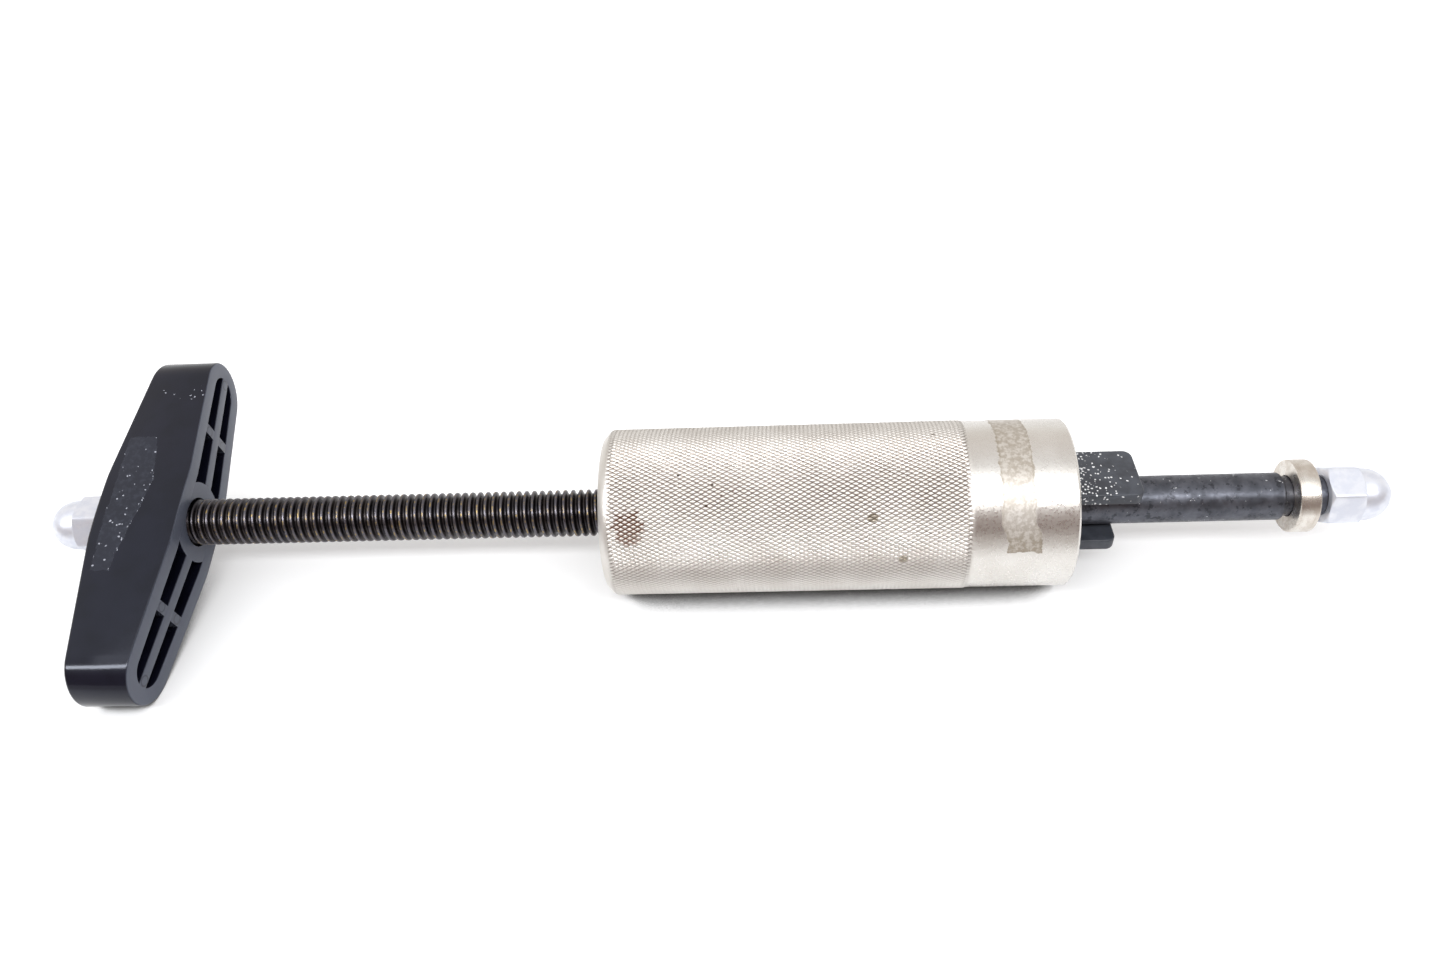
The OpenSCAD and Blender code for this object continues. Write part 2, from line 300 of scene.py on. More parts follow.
def thread_form(x0, x1, crest_r, depth, core, pitch):
    """Right-hand thread between x0 and x1. Point (i, j) lies at angle
    2 pi j / around and at x0 + pitch * (i / samples + j / around), so each row
    is one helix and the last column meets the first one pitch further on. The
    radius swings between root and crest as tanh(flatness * cos(phase)) and is
    faded to the core's radius over the last pitch at both ends."""
    rows = int((x1 - x0) / pitch - 1) * THREAD_SAMPLES
    i = np.arange(rows + 1)[:, None]
    j = np.arange(THREAD_AROUND)[None]
    angles = 2 * np.pi * j / THREAD_AROUND
    x = x0 + pitch * (i / THREAD_SAMPLES + j / THREAD_AROUND)
    start = CREST_X - pitch * CREST_ANGLE / (2 * np.pi)
    phase = 2 * np.pi * ((x - start) / pitch - j / THREAD_AROUND)
    height = 0.5 + 0.5 * np.tanh(THREAD_FLATNESS * np.cos(phase)) / math.tanh(THREAD_FLATNESS)
    ends = np.minimum(x - x0 - pitch, x1 - pitch - x) / pitch
    fade = np.clip(ends, 0, 1)
    radius = core + (crest_r - depth * (1 - height) - core) * fade
    points = around(x, radius, angles).reshape(-1, 3)
    numbers = np.arange(points.shape[0]).reshape(rows + 1, THREAD_AROUND)
    faces = grid_faces(rows + 1, THREAD_AROUND, wrap_columns=False)
    here, there = numbers[:-1 - THREAD_SAMPLES, -1], numbers[THREAD_SAMPLES:-1, 0]
    faces += np.stack([here, there, there + THREAD_AROUND, here + THREAD_AROUND], -1).tolist()
    # Each end: a strip from the helix row to a flat ring, and the ring's disc
    rings = [around(ring_x, core, angles[0]) for ring_x in (x0, x1)]
    first, last = len(points), len(points) + THREAD_AROUND
    j = np.arange(THREAD_AROUND - 1)
    faces += np.stack([first + j, first + j + 1, numbers[0, 1:], numbers[0, :-1]], -1).tolist()
    faces += np.stack([numbers[-1, :-1], numbers[-1, 1:], last + j + 1, last + j], -1).tolist()
    faces.append([first + THREAD_AROUND - 1, first]
                 + numbers[:THREAD_SAMPLES + 1, 0].tolist() + [int(numbers[0, -1])])
    faces.append([last, last + THREAD_AROUND - 1]
                 + numbers[-1 - THREAD_SAMPLES:, -1][::-1].tolist() + [int(numbers[-1, 0])])
    ring_numbers = np.arange(THREAD_AROUND)
    faces.append((first + ring_numbers)[::-1].tolist())
    faces.append((last + ring_numbers).tolist())
    marks = np.concatenate([(height * fade).ravel(), np.zeros(2 * THREAD_AROUND)])
    return np.vstack([points] + rings), faces, marks


def bar_form():
    """Nose, shank and the core of the tip stud, then the stud in the handle."""
    stud_core, stud_end = STUD_R - STUD_DEPTH - 0.2, TIP_SEAT + STUD_LEN - 0.3
    tip = turned(rounded([
        [THREAD_END - PITCH, 0, 0], [THREAD_END - PITCH, NOSE_R, 0.1],
        [SHOULDER_X, NOSE_R, 0.7], [SHOULDER_X, SHANK_R, 0.3], [TIP_SEAT, SHANK_R, 0.2],
        [TIP_SEAT, stud_core, 0.1], [stud_end, stud_core, 0.1], [stud_end, 0, 0]]), 96)
    tail = turned(rounded([
        [PALM_X - STUD_LEN, 0, 0], [PALM_X - STUD_LEN, STUD_R, 0.6],
        [BOSS_X - SCREW_SEAT, STUD_R, 0.1], [BOSS_X - SCREW_SEAT, 0, 0]]), 48)
    return joined(tip, tail)


# ---- Cap nuts

NUT_AF, NUT_HEX, NUT_NECK, DOME_R, NUT_HOLE = 14.3, 8.8, 1.9, 6.795, 10.6
NUT_AROUND = 144


def nut_radius(x, angles):
    """Radius of a cap nut at place x from its seat: the six flats with corners
    rounded by a power mean of the flats' reach, cut by a cone at 30 degrees at
    both ends, then the neck and the dome."""
    reach = np.cos(angles[..., None] - np.arange(6) * np.pi / 3)
    flats = NUT_AF / 2 / (np.clip(reach, 0, None) ** 60).sum(-1) ** (1 / 60)
    cone = NUT_AF / 2 - 0.1 + np.minimum(x, NUT_HEX - x) / math.tan(math.radians(30))
    hexed = -np.log(np.exp(-12 * flats) + np.exp(-12 * cone)) / 12
    dome = np.sqrt(np.clip(DOME_R ** 2 - np.clip(x - NUT_HEX - NUT_NECK, 0, None) ** 2, 0, None))
    return np.where(x <= NUT_HEX, hexed, np.broadcast_to(dome, hexed.shape))


def cap_nut_form(seat_x, way, turn):
    """A cap nut whose seat is at seat_x and whose dome points along way. Its rows
    run from the blind hole's end out of the hole and over the outside."""
    # Close rows where the cones cut the hexagon, wide ones between them
    cut = 1.4
    hex_x = np.concatenate([np.linspace(0, cut, 15), np.linspace(cut + 0.2, NUT_HEX - cut - 0.2, 6),
                            np.linspace(NUT_HEX - cut, NUT_HEX, 15)])
    dome_angle = np.linspace(0, np.pi / 2, 20)[:-1]
    dome_x = NUT_HEX + NUT_NECK + DOME_R * np.sin(dome_angle)
    x = np.concatenate([hex_x, [NUT_HEX + 1e-4, NUT_HEX + 0.2], dome_x])[:, None]
    angles = 2 * np.pi * np.arange(NUT_AROUND)[None] / NUT_AROUND
    radius = nut_radius(x, angles)
    hole_x = np.array([[NUT_HOLE], [NUT_HOLE], [0.5], [0.0]])
    hole_r = STUD_R + np.array([[-0.4], [0.05], [0.05], [0.5]])
    x = np.vstack([hole_x, x])
    radius = np.vstack([np.broadcast_to(hole_r, (len(hole_r), NUT_AROUND)), radius])
    rows = around(seat_x + way * x, radius, angles + turn).reshape(-1, 3)
    ends = around(seat_x + way * np.array([NUT_HOLE, NUT_HEX + NUT_NECK + DOME_R]), 0.0, 0.0)
    return np.vstack([rows, ends]), grid_faces(len(x), NUT_AROUND) + end_fans(len(x), NUT_AROUND)


# ---- The moulded handle

# How far the ends stay inside the CAD model's facets
HAIR = 0.002
# Steps round an end and along a side, and how softly a side turns at its middle
ARC_STEPS, SIDE_STEPS, SOFT_TURN = 24, 46, 0.02
# The softness of the creases where palm and finger sides fall away
CREASE = 0.75


def from_handle(u, v, x):
    """Points of the handle's own directions, u along its arms, v across and x
    from the boss face, as points of the frame."""
    u, v, x = np.broadcast_arrays(u, v, x)
    y = u * math.cos(ROLL) - v * math.sin(ROLL)
    z = u * math.sin(ROLL) + v * math.cos(ROLL)
    return np.stack([BOSS_X + x, y, AXIS_Z + z], -1)


def palm(u):
    """Place of the palm side: flat in the middle and falling away in a straight
    line, with max(past, 0) eased to (past + sqrt(past^2 + crease^2)) / 2."""
    past = np.abs(u) - SEAT_HALF
    eased = 0.5 * (past + np.sqrt(past ** 2 + CREASE ** 2))
    return -DEPTH + PALM_FALL * eased / (HANDLE_HALF - SEAT_HALF)


def finger(u):
    """Place of the finger side: flat at the boss, then falling away likewise."""
    past = np.abs(u) - HANDLE_MID
    eased = 0.5 * (past + np.sqrt(past ** 2 + CREASE ** 2))
    return -FINGER_FALL * eased / (HANDLE_HALF - HANDLE_MID)


def handle_loop(inset):
    """The handle's outline set in by a wall, as u and v: two round ends and two
    sides that lean to the middle width, in the same order for every inset."""
    r = HANDLE_END_R - HAIR - inset
    a = np.linspace(-np.pi / 2, np.pi / 2, ARC_STEPS + 1)
    side_u = np.linspace(ARM, -ARM, SIDE_STEPS + 2)[1:-1]
    at_end, at_middle = np.sqrt(1 + SOFT_TURN), np.sqrt(SOFT_TURN)
    bulge = (at_end - np.sqrt((side_u / ARM) ** 2 + SOFT_TURN)) / (at_end - at_middle)
    side_v = r + (HANDLE_MID - HANDLE_END_R) * bulge
    u = np.concatenate([ARM + r * np.cos(a), side_u, -ARM - r * np.cos(a[::-1]), -side_u])
    v = np.concatenate([r * np.sin(a), side_v, r * np.sin(a[::-1]), -side_v])
    return u, v


def handle_shell():
    """The shell: rings of the outline, set in and moved along the profile path.
    The path goes from the floor's middle under the palm up the pocket wall, over
    the rim, down the outside and across the palm to its middle."""
    closed, wall_foot = HANDLE_END_R - 0.01, RIM + 0.35
    fillet, pocket_edge, rim_edge, palm_edge = 0.6, 0.25, 0.45, 0.9
    quarter = [(math.cos(t), math.sin(t)) for t in np.linspace(0, np.pi / 2, 5)]
    # Each ring: how far it is set in, 0 on the finger side to 1 on the palm side,
    # and how far it stands off that side
    rings = [(closed, 1.0, PALM_WALL), (8.0, 1.0, PALM_WALL)]
    rings += [(wall_foot + fillet - fillet * s, 1.0, PALM_WALL + fillet - fillet * c)
              for c, s in quarter]
    rings += [(RIM + 0.1, 0.0, -1.5)]
    rings += [(RIM - pocket_edge + pocket_edge * c, 0.0, -pocket_edge + pocket_edge * s)
              for c, s in quarter]
    rings += [(rim_edge - rim_edge * s, 0.0, -rim_edge + rim_edge * c) for c, s in quarter]
    rings += [(0.0, 0.5, 0.0)]
    rings += [(palm_edge - palm_edge * c, 1.0, palm_edge - palm_edge * s) for c, s in quarter]
    rings += [(3.0, 1.0, 0.0), (6.0, 1.0, 0.0), (closed, 1.0, 0.0)]
    grid = []
    for inset, side, offset in rings:
        u, v = handle_loop(inset)
        grid.append(from_handle(u, v, (1 - side) * finger(u) + side * palm(u) + offset))
    count = len(grid[0])
    points = np.vstack(grid)
    faces = grid_faces(len(rings), count)
    # The first and last rings leave a long opening, narrow at both ends. Faces
    # from side to side fill it: the point across from i is ARC_STEPS - i
    tip = ARC_STEPS // 2
    far_tip = tip + count // 2
    i = np.arange(tip + 1, far_tip - 1)
    fill = np.stack([i, i + 1, (ARC_STEPS - i - 1) % count, (ARC_STEPS - i) % count], -1).tolist()
    fill += [[tip, tip + 1, tip - 1], [far_tip - 1, far_tip, far_tip + 1]]
    last = (len(rings) - 1) * count
    faces += [face[::-1] for face in fill]
    faces += [[point + last for point in face] for face in fill]
    return points, faces


def rib_form(u0, u1, v0, v1, sink):
    """A rib with rounded top edges between two places along and across the
    handle. Its section runs up one side, over two arcs and down the other, and
    its top follows the finger side, sunk a little under the rim."""
    edge = 0.25
    a = np.linspace(0, np.pi / 2, 4)
    across = np.concatenate([[v0], v0 + edge - edge * np.cos(a),
                             v1 - edge + edge * np.cos(a[::-1]), [v1]])
    painted_crest_highlight = np.concatenate([[0], -edge + edge * np.sin(a), -edge + edge * np.sin(a[::-1]), [0]])
    is_top = np.concatenate([[0], np.ones(8), [0]])
    u = np.linspace(u0, u1, max(2, int(abs(u1 - u0) / 2)))[:, None]
    x = is_top * (finger(u) + painted_crest_highlight - sink) + (1 - is_top) * (palm(u) + PALM_WALL - 0.5)
    points = from_handle(u, across[None], x).reshape(-1, 3)
    rows, columns = len(u), len(across)
    faces = grid_faces(rows, columns)
    faces += [list(range(columns))[::-1], list(range((rows - 1) * columns, rows * columns))]
    return points, faces


def boss_form():
    """The boss: a round post, flush with the rim, with the screw's seat."""
    r = HANDLE_MID - 0.2
    profile = rounded([
        [BOSS_X - DEPTH + 2, 0, 0], [BOSS_X - DEPTH + 2, r, 0.1], [BOSS_X - 0.02, r, 0.2],
        [BOSS_X - 0.02, THREAD_R + 0.25, 0.35], [BOSS_X - SCREW_SEAT, THREAD_R + 0.15, 0.1],
        [BOSS_X - SCREW_SEAT, 0, 0]])
    return turned(profile, 96)


def handle_form():
    """Shell, boss, the rib along each arm and the rib across each arm, with a
    mark that is 1 on the finger side and 0 from 0.2 mm below it."""
    parts = [handle_shell(), boss_form()]
    reach = HANDLE_HALF - RIM + 1
    for side in (-1, 1):
        u0, u1 = sorted((side * (HANDLE_MID - 1), side * reach))
        parts.append(rib_form(u0, u1, -RIB / 2, RIB / 2, 0.02))
        middle = side * CROSS_AT
        wall = HANDLE_MID - RIM + 0.5
        parts.append(rib_form(middle - CROSS_RIB / 2, middle + CROSS_RIB / 2, -wall, wall, 0.035))
    parts = [(points, outward(points, faces)) for points, faces in parts]
    points, faces = joined(*parts)
    u = points[:, 1] * math.cos(ROLL) + (points[:, 2] - AXIS_Z) * math.sin(ROLL)
    below = finger(u) - (points[:, 0] - BOSS_X)
    return points, faces, np.clip(1 - below / 0.2, 0, 1)


# ---- The fork

PRONG_W, PRONG_T, PRONG_R, PRONG_EDGE = 17.1, 3.4, 2.4, 0.45
PRONG_IN = THREAD_R + 0.15


def prong_loop(end, inset):
    """A prong's outline seen from above, set in: a strip with two round corners,
    with points on the long sides as well, in the same order for every inset."""
    a = np.linspace(0, np.pi / 2, 9)
    half, r = PRONG_W / 2, PRONG_R
    corner_x, corner_y = end - r, half - r
    r -= inset
    root = FORK_X + 2
    x = np.concatenate([[root, (root + corner_x) / 2], corner_x + r * np.sin(a),
                        corner_x + r * np.cos(a), [(root + corner_x) / 2, root]])
    y = np.concatenate([[-half + inset] * 2, -corner_y - r * np.cos(a),
                        corner_y + r * np.sin(a), [half - inset] * 2])
    return x, y


def prong_form(end, side):
    """A flat prong: rings of its outline from the under face round both edges,
    which are quarter circles, to the top face."""
    edge = PRONG_EDGE
    a = np.linspace(0, np.pi / 2, 5)
    steps = [(edge - edge * math.sin(t), edge - edge * math.cos(t)) for t in a]
    steps += [(edge - edge * math.cos(t), PRONG_T - edge + edge * math.sin(t)) for t in a]
    rings = []
    for inset, height in steps:
        x, y = prong_loop(end, inset)
        z = AXIS_Z + side * (PRONG_IN + height)
        rings.append(np.stack([x, y, np.full(len(x), z)], -1))
    count = len(rings[0])
    faces = grid_faces(len(rings), count)
    faces += [list(range(count))[::-1], list(range((len(rings) - 1) * count, len(rings) * count))]
    points = np.vstack(rings)
    return points, outward(points, faces)


def fork_form():
    """The fork: a round base with the screw's hole, and two prongs."""
    base_r, base_end = BORE_R - RUNNING_GAP, FORK_X + FORK_BASE
    base = turned(rounded([
        [FORK_X, PRONG_IN, 0.0], [FORK_X, PRONG_IN + 2, 0], [FORK_X, base_r, 0.6],
        [base_end, base_r, 0.6], [base_end, PRONG_IN + 1, 0], [base_end, PRONG_IN, 0]]), 96, closed=True)
    base = (base[0], outward(*base))
    return joined(base, prong_form(LONG_END, 1), prong_form(SHORT_END, -1))


def plug_form():
    """The end plug: flange, body and the hole that the screw runs in."""
    hole, flange_r, body_r = THREAD_R + RUNNING_GAP, FLANGE_R - PRESS_GAP, BORE_R - PRESS_GAP
    flange_end, end, bevel = BACK_X + FLANGE_T, BACK_X + FLANGE_T + PLUG_LEN, 0.9
    points, faces = turned(rounded([
        [BACK_X, hole + bevel, 0], [BACK_X, flange_r, 0.5], [flange_end, flange_r, 0.1],
        [flange_end, body_r, 0.1], [end, body_r, 0.6], [end, hole, 0.3],
        [BACK_X + bevel, hole, 0.2], [BACK_X, hole + bevel, 0]])[:-1], 96, closed=True)
    return points, outward(points, faces)


def ring_form():
    """The puller ring, a turned washer with rounded edges."""
    hole = SHANK_R + RUNNING_GAP
    points, faces = turned(rounded([
        [RING_X, hole + 0.3, 0], [RING_X, RING_R, 0.45], [RING_END, RING_R, 0.45],
        [RING_END, hole, 0.3], [RING_X, hole, 0.3], [RING_X, hole + 0.3, 0]])[:-1], 96, closed=True)
    return points, outward(points, faces)


# ---- Materials

def linear(hex_colour):
    """An sRGB hex colour as linear red, green, blue and alpha."""
    channels = [int(hex_colour[i:i + 2], 16) / 255 for i in (1, 3, 5)]
    return [c / 12.92 if c <= 0.04045 else ((c + 0.055) / 1.055) ** 2.4 for c in channels] + [1.0]


def add_node(tree, kind, values=(), **settings):
    """Adds a node of a kind with its settings. The values go to its open sockets
    in order, or by name from a dictionary. A node among them stands for its first
    open output, an output is linked, and anything else but None is set."""
    node = tree.nodes.new("ShaderNode" + kind)
    for key, value in settings.items():
        setattr(node, key, value)
    if isinstance(values, dict):
        filled = [(node.inputs[key], value) for key, value in values.items()]
    else:
        filled = zip([socket for socket in node.inputs if socket.enabled], values)
    for socket, value in filled:
        if isinstance(value, bpy.types.Node):
            value = next(output for output in value.outputs if output.enabled)
        if isinstance(value, bpy.types.NodeSocket):
            tree.links.new(value, socket)
        elif value is not None:
            socket.default_value = value
    return node


# Settings that many nodes share
SMOOTH = {"interpolation_type": "SMOOTHSTEP"}
COLOURS = {"data_type": "RGBA"}
FROM_CENTRE = {"vector_type": "TEXTURE"}
TIMES, PLUS, MINUS = {"operation": "MULTIPLY"}, {"operation": "ADD"}, {"operation": "SUBTRACT"}
TIMES_PLUS, UNSIGNED = {"operation": "MULTIPLY_ADD"}, {"operation": "ABSOLUTE"}
LEAST, MOST, LENGTH = {"operation": "MINIMUM"}, {"operation": "MAXIMUM"}, {"operation": "LENGTH"}
# The span that most of a noise's values lie in
MOST_NOISE = 0.3, 0.7


def new_material(name):
    """An empty material, the function that adds nodes to it, and the Object
    coordinates, in metres."""
    made = bpy.data.materials.new(name)
    made.use_nodes = True
    made.node_tree.nodes.clear()
    add = functools.partial(add_node, made.node_tree)
    return made, add, add("TexCoord").outputs["Object"]


def surface(made, add, relief, depth_mm, strength, values):
    """Ends a material with its shader's values and a relief of a depth in mm."""
    normal = add("Bump", {"Height": relief, "Distance": depth_mm * MM, "Strength": strength})
    add("OutputMaterial", (add("BsdfPrincipled", {**values, "Normal": normal}),))
    return made


def blobs(add, place, size_mm, detail=3.0, stretch=(1, 1, 1), roughness=0.55):
    """Noise whose blobs are about size_mm across, stretched along the axes."""
    stretched = add("Mapping", (place, None, None, stretch), **FROM_CENTRE)
    return add("TexNoise", (stretched, 0.6 / (size_mm * MM), detail, roughness))


def mottled(add, noise, one, other, low=0.35, high=0.65):
    """A colour that goes over into another where noise rises from low to high."""
    shade = add("MapRange", (noise, low, high), **SMOOTH)
    return add("Mix", (shade, linear(one), linear(other)), **COLOURS)


def in_mm(add, place, centre_mm, turn=0.0):
    """The x, y and z of a place in mm from a centre, along axes turned about X."""
    centre = [c * MM for c in centre_mm]
    turned_to = add("Mapping", (place, centre, (turn, 0, 0), [MM] * 3), **FROM_CENTRE)
    return add("SeparateXYZ", (turned_to,)).outputs


def ragged(add, value, grain, depth):
    """A value pushed in and out by noise, by half the depth either way."""
    push = add("Math", (grain, depth, -depth / 2), **TIMES_PLUS)
    return add("Math", (value, push), **PLUS)


def spot(add, place, centre_mm, radii_mm, rough_edge, grain):
    """1 inside an ellipsoid, falling to 0 at its edge, which noise makes ragged."""
    centre, radii = [c * MM for c in centre_mm], [r * MM for r in radii_mm]
    far = add("VectorMath", (add("Mapping", (place, centre, None, radii), **FROM_CENTRE),), **LENGTH)
    return add("MapRange", (ragged(add, far, grain, rough_edge), 1.0, 0.75), **SMOOTH)


def flecks(add, place, size_mm, density):
    """1 in small uneven flecks: the middles of random cells, bent by noise, of
    which a share given by the density is kept."""
    per_metre = 1 / (size_mm * MM)
    bend = add("TexNoise", (place, per_metre)).outputs["Color"]
    bent = add("VectorMath", (bend, [size_mm * MM] * 3, place), **TIMES_PLUS)
    cells = add("TexVoronoi", (bent, per_metre))
    chance = add("SeparateXYZ", (cells.outputs["Color"],)).outputs[0]
    kept = add("MapRange", (add("Math", (density, chance), **MINUS), 0.0, 0.02), **SMOOTH)
    middle = add("MapRange", (cells.outputs["Distance"], 0.42, 0.3), **SMOOTH)
    return add("Math", (kept, middle), **TIMES)


def on_sleeve(x, degrees):
    """A point on the sleeve's surface."""
    a = math.radians(degrees)
    return x, SLEEVE_R * math.cos(a), AXIS_Z + SLEEVE_R * math.sin(a)


# Marks on the sleeve: place along it, angle round it, radii in mm, colour, how strong
SLEEVE_SPOTS = (
    (44.0, 143.7, (1.6, 1.3, 1.3), "#6b5a35", 0.6), (51.6, 173.8, (1.3, 1.2, 1.3), "#6f6138", 0.55),
    (-4.3, 112.6, (0.5, 0.45, 0.45), "#2a1d14", 0.9), (4.3, 119.5, (0.45, 0.4, 0.4), "#3f2a1c", 0.85),
    (2.7, 133.4, (0.55, 0.4, 0.4), "#4a2c14", 0.85), (6.6, 127.0, (0.4, 0.3, 0.3), "#6b4c34", 0.7),
    (9.5, 124.0, (0.35, 0.3, 0.3), "#6b4c34", 0.7), (60.5, 82.0, (0.7, 0.5, 0.5), "#6a5a48", 0.7))
RUST_AT, RUST_R = (-17.0, 147.0), (4.6, 5.0, 5.0)
# The film of old glue on the band: its middle, how far its lower part stands
# off that, its half width, the height of its lower end, and where it ends behind
FILM_X, FILM_SLANT, FILM_HALF, FILM_LOW, FILM_BACK = 79.9, 1.6, 4.2, 25.7, 18.0


def glue_film(add, place):
    """How much of the film of old glue lies at a place, from its outline in mm,
    then how much of the colour it has there, and its darker rim."""
    x, y, z = in_mm(add, place, (FILM_X, 0, 0))
    off = add("Math", (x, add("MapRange", (z, 34.0, 29.0, 0.0, -FILM_SLANT), **SMOOTH)), **PLUS)
    inside = add("Math", (add("Math", (off,), **UNSIGNED), -1.0, FILM_HALF), **TIMES_PLUS)
    inside = add("Math", (inside, add("Math", (z, FILM_LOW), **MINUS)), **LEAST)
    inside = add("Math", (inside, add("Math", (FILM_BACK, y), **MINUS)), **LEAST)
    inside = ragged(add, inside, blobs(add, place, 1.6, 4), 2.6)
    film = add("MapRange", (inside, -0.1, 0.25), **SMOOTH)
    rim = add("Math", (film, add("MapRange", (inside, 0.9, 0.25), **SMOOTH)), **TIMES)
    # Thin in the middle of its length, thicker and browner towards both ends
    low_end = add("MapRange", (z, 35.0, 28.0, 0.0, 0.3), **SMOOTH)
    high_end = add("MapRange", (z, 40.0, 43.0, 0.0, 0.2), **SMOOTH)
    patchy = add("MapRange", (blobs(add, place, 0.7, 4, roughness=0.7), 0.38, 0.6, 0.15, 0.45), **SMOOTH)
    thick = add("Math", (patchy, add("Math", (low_end, high_end), **PLUS)), **PLUS)
    return film, add("Math", (film, thick), **TIMES), rim


def plated_sleeve():
    """Nickel-plated steel, turned and then rolled with a diamond knurl: a pale
    warm metal, satin, browner and darker down in the knurl's grooves, a patch
    of rust, a few spots and a film of old glue on the band."""
    made, add, place = new_material("nickel_plated_steel")
    height = add("Attribute", attribute_name="height").outputs["Fac"]
    cloudy = blobs(add, place, 7, 4)
    # Grain of 0.2 mm on the real plating, drawn at 0.4 mm so that it shows
    fine = blobs(add, place, 0.4, 2)
    base = mottled(add, cloudy, "#eeebe6", "#e4e0da", *MOST_NOISE)
    # Darker and browner towards the bottoms of the knurl's grooves, more in some places than others
    groove = add("MapRange", (height, 0.6, 0.05), **SMOOTH)
    groove_tint = add("Math", (groove, add("MapRange", (cloudy, 0.25, 0.75, 0.75, 0.95), **SMOOTH)), **TIMES)
    base = add("Mix", (groove_tint, base, linear("#76635a")), **COLOURS)
    edge = blobs(add, place, 1.2, 3)
    rust = spot(add, place, on_sleeve(*RUST_AT), RUST_R, 1.3, edge)
    rust = add("Math", (rust, add("MapRange", (height, 1.0, 0.35, 0.2, 0.95), **SMOOTH)), **TIMES)
    base = add("Mix", (rust, base, linear("#63391b")), **COLOURS)
    for x, degrees, radii, tint, strength in SLEEVE_SPOTS:
        mark = spot(add, place, on_sleeve(x, degrees), radii, 0.9, edge)
        base = add("Mix", (add("Math", (mark, strength), **TIMES), base, linear(tint)), **COLOURS)
    film, film_colour, rim = glue_film(add, place)
    base = add("Mix", (film_colour, base, linear("#806f55")), **COLOURS)
    base = add("Mix", (add("Math", (rim, 0.25), **TIMES), base, linear("#7a6a4c")), **COLOURS)
    bare = add("Math", (film, -0.55, add("Math", (rust, -0.7, 1.0), **TIMES_PLUS)), **TIMES_PLUS)
    # The knurled part is a little rougher than the smooth band
    knurled = add("MapRange", (in_mm(add, place, (BAND_X, 0, 0))[0], 0.3, -0.3, 0.0, 0.12), **SMOOTH)
    rough = add("Math", (add("MapRange", (fine, *MOST_NOISE, 0.34, 0.26), **SMOOTH), knurled), **PLUS)
    rough = add("Math", (film, 0.12, rough), **TIMES_PLUS)
    turning = blobs(add, place, 0.6, 2, (1, 400, 400))
    relief = add("Math", (fine, 1.6, turning), **TIMES_PLUS)
    return surface(made, add, relief, 0.03, 0.8,
                   {"Base Color": base, "Metallic": bare, "Roughness": rough})


def dark_screw():
    """Steel rod with a cut thread, black oxide and oil: near black with a brown
    tinge, rubbed to a brassy shine along the very tops of the thread."""
    made, add, place = new_material("black_oxide_thread")
    crest = add("Attribute", attribute_name="crest").outputs["Fac"]
    grain = blobs(add, place, 0.6, 3)
    base = mottled(add, blobs(add, place, 2.6, 4), "#353337", "#3f3a39")
    # Painted highlight: the crests are coloured lighter than the roots
    painted_crest_highlight = add("MapRange", (crest, 0.7, 0.97), **SMOOTH)
    base = add("Mix", (painted_crest_highlight, base, linear("#68656b")), **COLOURS)
    very_top = add("MapRange", (crest, 0.92, 1.0), **SMOOTH)
    worn = add("Math", (very_top, add("MapRange", (grain, 0.5, 0.66), **SMOOTH)), **TIMES)
    base = add("Mix", (worn, base, linear("#a58f5f")), **COLOURS)
    rough = add("MapRange", (grain, *MOST_NOISE, 0.26, 0.42), **SMOOTH)
    return surface(made, add, grain, 0.04, 0.6,
                   {"Base Color": base, "Metallic": 1.0, "Roughness": rough})


def dark_bar():
    """The same black oxide on a smooth turned bar: blue-black, mottled, with
    small flecks rubbed bright."""
    made, add, place = new_material("black_oxide_bar")
    grain = blobs(add, place, 0.7, 3)
    base = mottled(add, blobs(add, place, 2.4, 5), "#505259", "#65676f")
    pits = add("MapRange", (blobs(add, place, 1.1, 4, roughness=0.65), 0.56, 0.64), **SMOOTH)
    base = add("Mix", (add("Math", (pits, 0.7), **TIMES), base, linear("#34353a")), **COLOURS)
    rubbed = add("MapRange", (blobs(add, place, 0.9, 4, roughness=0.7), 0.67, 0.69), **SMOOTH)
    base = add("Mix", (rubbed, base, linear("#dfe2e6")), **COLOURS)
    rough = add("MapRange", (grain, *MOST_NOISE, 0.32, 0.5), **SMOOTH)
    return surface(made, add, grain, 0.04, 0.6,
                   {"Base Color": base, "Metallic": 0.85, "Roughness": rough})


def black_fork():
    """Blackened steel bar, satin, chipped to bare metal in small flecks that
    crowd together where the prongs leave the sleeve."""
    made, add, place = new_material("blackened_steel_fork")
    base = mottled(add, blobs(add, place, 3.0, 4), "#33363d", "#444850")
    along, _, above = in_mm(add, place, (MOUTH_X, 0, AXIS_Z))
    on_top = add("MapRange", (above, -2.0, 2.0), **SMOOTH)
    worn = add("Math", (add("MapRange", (along, 14.0, -1.0, 0.08, 0.85), **SMOOTH), on_top), **TIMES)
    # Chips of 0.3 mm, drawn at about 0.5 mm so that they show
    base = add("Mix", (flecks(add, place, 0.75, worn), base, linear("#eceef0")), **COLOURS)
    grain = blobs(add, place, 0.8, 3)
    return surface(made, add, grain, 0.04, 0.6, {"Base Color": base, "Roughness": 0.42})


def plated_ring():
    """Turned and plated steel: warm silver with fine turning lines and a little
    brown in them."""
    made, add, place = new_material("turned_plated_steel")
    turning = blobs(add, place, 0.5, 2, (1, 300, 300))
    cloudy = blobs(add, place, 2.0, 3)
    base = mottled(add, cloudy, "#ece7df", "#d6cdc2")
    brown = add("MapRange", (turning, 0.5, 0.75, 0.0, 0.5), **SMOOTH)
    base = add("Mix", (brown, base, linear("#a08f80")), **COLOURS)
    rough = add("MapRange", (cloudy, *MOST_NOISE, 0.24, 0.34), **SMOOTH)
    return surface(made, add, turning, 0.02, 0.6,
                   {"Base Color": base, "Metallic": 1.0, "Roughness": rough})


